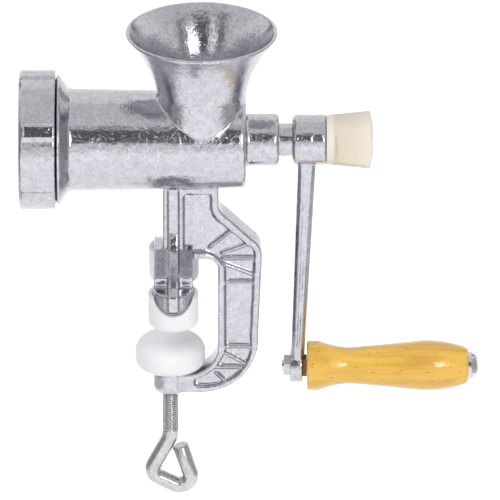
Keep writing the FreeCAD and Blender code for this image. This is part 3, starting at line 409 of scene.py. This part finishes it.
white_mottle = mottled(PLASTIC_DARK, PLASTIC_LIGHT)
brown_mottle = mottled(WASHER_DARK, WASHER_LIGHT)
FINISHES = {
    "cast_aluminium": cast_aluminium(),
    "zinc_steel": zinc_steel(),
    "tool_steel": tool_steel(),
    "bright_steel": bright_steel(),
    "white_plastic": moulded_plastic("white_plastic_finish", white_mottle, MOULD_ROUGHNESS, scatter=0.004),
    "cream_plastic": moulded_plastic("cream_plastic_finish", knob_colour_with_painted_light, MOULD_ROUGHNESS, scatter=0.004),
    "varnished_wood": varnished_wood(),
    "brown_washer": moulded_plastic("brown_washer_finish", brown_mottle, WASHER_ROUGHNESS, scatter=0.001),
}


def dress_frame():
    """Gives every CAD node the finish of its slot in the record."""
    slots = {item["node"]: item["material_slot"] for item in frame["record"]["subparts"]}
    for name, piece in frame["nodes"].items():
        piece.data.materials.clear()
        piece.data.materials.append(FINISHES[slots[name]])


def new_piece(name, mesh, body, slot, node):
    """Adds a mesh that rides on a body, takes a slot's finish and stands for a CAD node."""
    piece = bpy.data.objects.new(name, mesh)
    link_to_scene(piece)
    mesh.materials.append(FINISHES[slot])
    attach(piece, body)
    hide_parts(node)
    return piece


def soften_casting(node, body, voxel_size):
    """Stands a copy with rounded edges and hollows in for a cast CAD node, as tumbling leaves it."""
    mesh = frame["nodes"][node].data.copy()
    mesh.materials.clear()
    piece = new_piece(node + "_cast", mesh, body, "cast_aluminium", node)
    weld = piece.modifiers.new("weld", "WELD")
    weld.merge_threshold = WELD_DISTANCE
    remesh = piece.modifiers.new("remesh", "REMESH")
    remesh.mode = "VOXEL"
    remesh.voxel_size = voxel_size
    remesh.use_smooth_shade = True
    smooth = piece.modifiers.new("smooth", "SMOOTH")
    smooth.factor = SMOOTHING_SHARE
    smooth.iterations = SMOOTHING_PASSES
    thin = piece.modifiers.new("thin", "DECIMATE")
    thin.ratio = FACES_KEPT
    evaluated = piece.evaluated_get(bpy.context.evaluated_depsgraph_get())
    piece.data = bpy.data.meshes.new_from_object(evaluated)
    piece.modifiers.clear()
    return piece


def raise_ridge(arm):
    """Gives the crank arm's two narrow faces a raised ridge with a parting line along it."""
    for vertex in arm.data.vertices:
        x, y, z = vertex.co
        along = (ARM_ROOT.z - z) / (ARM_ROOT.z - ARM_TIP.z)
        middle = ARM_ROOT.lerp(ARM_TIP, along)
        aside = min(1.0, abs(x - middle.x) / between(ARM_HALF_THICKNESS, along))
        fade = unit_share(min(z - RIDGE_ENDS[0], RIDGE_ENDS[1] - z) / RIDGE_FADE)
        rise = RIDGE_RISE * (1 - aside) - PARTING_DEPTH * max(0.0, 1 - aside / PARTING_SHARE)
        vertex.co.y = y + rise * fade * y / between(ARM_HALF_WIDTH, along)


def skin_rings(name, rings):
    """A closed smooth mesh through rings of equally many points, with flat caps."""
    shape = bmesh.new()
    loops = [[shape.verts.new(point) for point in ring] for ring in rings]
    for lower, upper in zip(loops, loops[1:]):
        for first, (a, b) in enumerate(zip(lower, upper)):
            following = (first + 1) % len(lower)
            face = shape.faces.new((a, lower[following], upper[following], b))
            face.smooth = True
    shape.faces.new(reversed(loops[0]))
    shape.faces.new(loops[-1])
    bmesh.ops.recalc_face_normals(shape, faces=shape.faces)
    mesh = bpy.data.meshes.new(name)
    shape.to_mesh(mesh)
    shape.free()
    return mesh


def thread_radius(along, angle, ends):
    """The radius of a right-hand thread at a place along its axis, fading out towards its ends."""
    phase = (along / METRIC_PITCH - angle / (2 * math.pi)) % 1.0
    groove = abs(2 * phase - 1)
    fade = unit_share(min(along - ends[0], ends[1] - along) / METRIC_PITCH)
    # A flat crest, a straight flank and a flat root
    depth = THREAD_DEPTH * unit_share(THREAD_FLANK * groove - THREAD_CREST)
    return ROD_RADIUS - depth * fade


def ring_round(centre, first_axis, second_axis, radii):
    """Points round a centre in the plane of two axes, with a radius for each of the ring's angles."""
    ring = []
    for angle, radius in zip(RING_ANGLES, radii):
        ring.append(centre + (first_axis * math.cos(angle) + second_axis * math.sin(angle)) * radius)
    return ring


def bent_rod_line():
    """Places and directions down the clamp screw: its straight run, and then its bends."""
    steps = round((ROD_TOP - THREAD_END) / METRIC_PITCH * STEPS_PER_PITCH)
    line = []
    for step in range(steps):
        height = between((ROD_TOP, THREAD_END), step / steps)
        line.append((Vector((0, 0, height)), Vector((0, 0, -1))))
    corners = [Vector((0, 0, ROD_TOP))] + [Vector((x, 0, z)) for x, z in HOOK_CORNERS]
    for before, corner, after, radius in zip(corners, corners[1:], corners[2:], HOOK_BENDS):
        inward, outward = (corner - before).normalized(), (after - corner).normalized()
        turn = inward.angle(outward)
        start = corner - inward * radius * math.tan(turn / 2)
        side = (outward - inward * inward.dot(outward)).normalized()
        count = max(2, round(turn / BEND_STEP))
        for step in range(count + 1):
            angle = turn * step / count
            place = start + inward * radius * math.sin(angle) + side * radius * (1 - math.cos(angle))
            line.append((place, inward * math.cos(angle) + side * math.sin(angle)))
    tip, heading = corners[-1], (corners[-1] - corners[-2]).normalized()
    line.append((tip - heading * TIP_CHAMFER, heading))
    line.append((tip, heading))
    return line


def clamp_rod_radius(height, angle, at_end):
    """The clamp rod's radius: cut back at its two ends, threaded above and plain below."""
    if at_end:
        return ROD_RADIUS - TIP_CHAMFER
    if height > THREAD_END:
        return thread_radius(height, -angle, (THREAD_END, ROD_TOP))
    return ROD_RADIUS


def make_clamp_screw():
    """The threaded clamp rod with its bent eye, in place of the plain solid."""
    line = bent_rod_line()
    sideways = Vector((0, 1, 0))
    rings = []
    for number, (place, heading) in enumerate(line):
        at_end = number in (0, len(line) - 1)
        radii = [clamp_rod_radius(place.z, angle, at_end) for angle in RING_ANGLES]
        rings.append(ring_round(place, sideways.cross(heading), sideways, radii))
    new_piece("clamp_rod", skin_rings("clamp_rod", rings), "clamp_screw", "zinc_steel", "clamp_screw")


def make_knob_stud():
    """The thumb knob's threaded stud, in place of the plain solid."""
    low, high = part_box("knob_stud")
    ends = (low.x, high.x)
    centre = (low + high) / 2
    sideways, upwards = Vector((0, 1, 0)), Vector((0, 0, 1))
    steps = round((high.x - low.x) / METRIC_PITCH * STEPS_PER_PITCH)
    rings = []
    for step in range(steps + 1):
        along = between(ends, step / steps)
        radii = [thread_radius(along, angle, ends) for angle in RING_ANGLES]
        rings.append(ring_round(Vector((along, centre.y, centre.z)), sideways, upwards, radii))
    new_piece("knob_thread", skin_rings("knob_thread", rings), "thumb_knob", "zinc_steel", "knob_stud")


def seen_ray(tree):
    """1 for rays that show the background: from the camera, off gloss or through glass."""
    path = tree.nodes.new("ShaderNodeLightPath")
    total = path.outputs["Is Camera Ray"]
    for name in ("Is Glossy Ray", "Is Transmission Ray"):
        either = tree.nodes.new("ShaderNodeMath")
        either.operation = "MAXIMUM"
        tree.links.new(total, either.inputs[0])
        tree.links.new(path.outputs[name], either.inputs[1])
        total = either.outputs["Value"]
    return total


def light_world():
    """A white background, of strength 1 where it is seen, that lights the object at a plain level."""
    world = bpy.data.worlds.new("studio")
    bpy.context.scene.world = world
    world.use_nodes = True
    world.cycles.sampling_method = "NONE"
    tree = world.node_tree
    level = tree.nodes.new("ShaderNodeMapRange")
    level.inputs["To Min"].default_value = WORLD_LIGHT
    tree.links.new(seen_ray(tree), level.inputs["Value"])
    background = tree.nodes["Background"]
    tree.links.new(level.outputs["Result"], background.inputs["Strength"])
    background.inputs["Color"].default_value = WHITE


def flat_mesh(name, width, length, z=0.0):
    """A level rectangle with its middle on the Z axis, at the height z."""
    x, y = width / 2, length / 2
    mesh = bpy.data.meshes.new(name)
    mesh.from_pydata([(-x, -y, z), (x, -y, z), (x, y, z), (-x, y, z)], [], [(0, 1, 2, 3)])
    return mesh


def add_card(name, place, width, height, level, lying=False):
    """A card that glows evenly and shows in gloss alone. It faces the object, or else lies level."""
    mesh = flat_mesh(name, width, height)
    card = bpy.data.objects.new(name, mesh)
    card.location = place
    if not lying:
        card.rotation_euler = facing_target(place)
    link_to_scene(card)
    finish = Finish(name + "_finish")
    finish.output(finish.glow(level))
    mesh.materials.append(finish.material)
    card.visible_camera = False
    card.visible_diffuse = False
    card.visible_shadow = False


def add_lamp(name, place, size, watts):
    """A soft square lamp that faces the object."""
    lamp = bpy.data.lights.new(name, "AREA")
    lamp.size = size
    lamp.energy = watts
    holder = bpy.data.objects.new(name, lamp)
    holder.visible_glossy = False
    holder.location = place
    holder.rotation_euler = facing_target(place)
    link_to_scene(holder)


def add_floor():
    """A pale floor well below the hanging clamp screw, white to the camera but for its shadows."""
    mesh = flat_mesh("floor", FLOOR_SIZE, FLOOR_SIZE, FLOOR_LEVEL)
    floor = bpy.data.objects.new("floor", mesh)
    link_to_scene(floor)
    finish = Finish("floor_finish")
    finish.surface(Base_Color=FLOOR_COLOUR, Roughness=FLOOR_ROUGHNESS, Specular_IOR_Level=0.0)
    strength = finish.sums("MULTIPLY", seen_ray(finish.tree), FLOOR_GLOW)
    both = finish.node("ShaderNodeAddShader")
    finish.put(both.inputs[0], finish.shader.outputs["BSDF"])
    finish.put(both.inputs[1], finish.glow(strength))
    finish.output(both.outputs["Shader"])
    mesh.materials.append(finish.material)


def add_camera():
    """A camera in front of the object and above it, as in the photograph."""
    data = bpy.data.cameras.new("camera")
    data.sensor_width = SENSOR_WIDTH
    data.lens = SENSOR_WIDTH * CAMERA_DISTANCE / VIEW_WIDTH
    camera = bpy.data.objects.new("camera", data)
    back = Vector((0, -math.cos(CAMERA_ELEVATION), math.sin(CAMERA_ELEVATION)))
    camera.location = CAMERA_TARGET + back * CAMERA_DISTANCE
    camera.rotation_euler = facing_target(camera.location)
    link_to_scene(camera)
    bpy.context.scene.camera = camera


bpy.context.scene.view_settings.view_transform = "Standard"
add_camera()
dress_frame()
castings = {node: soften_casting(node, *values) for node, values in CASTINGS.items()}
raise_ridge(castings["crank_arm"])
make_clamp_screw()
make_knob_stud()
light_world()
for name, lamp in LAMPS.items():
    add_lamp(name, *lamp)
for name, card in FACING_CARDS.items():
    add_card(name, *card)
for name, card in LYING_CARDS.items():
    add_card(name, *card, lying=True)
add_floor()
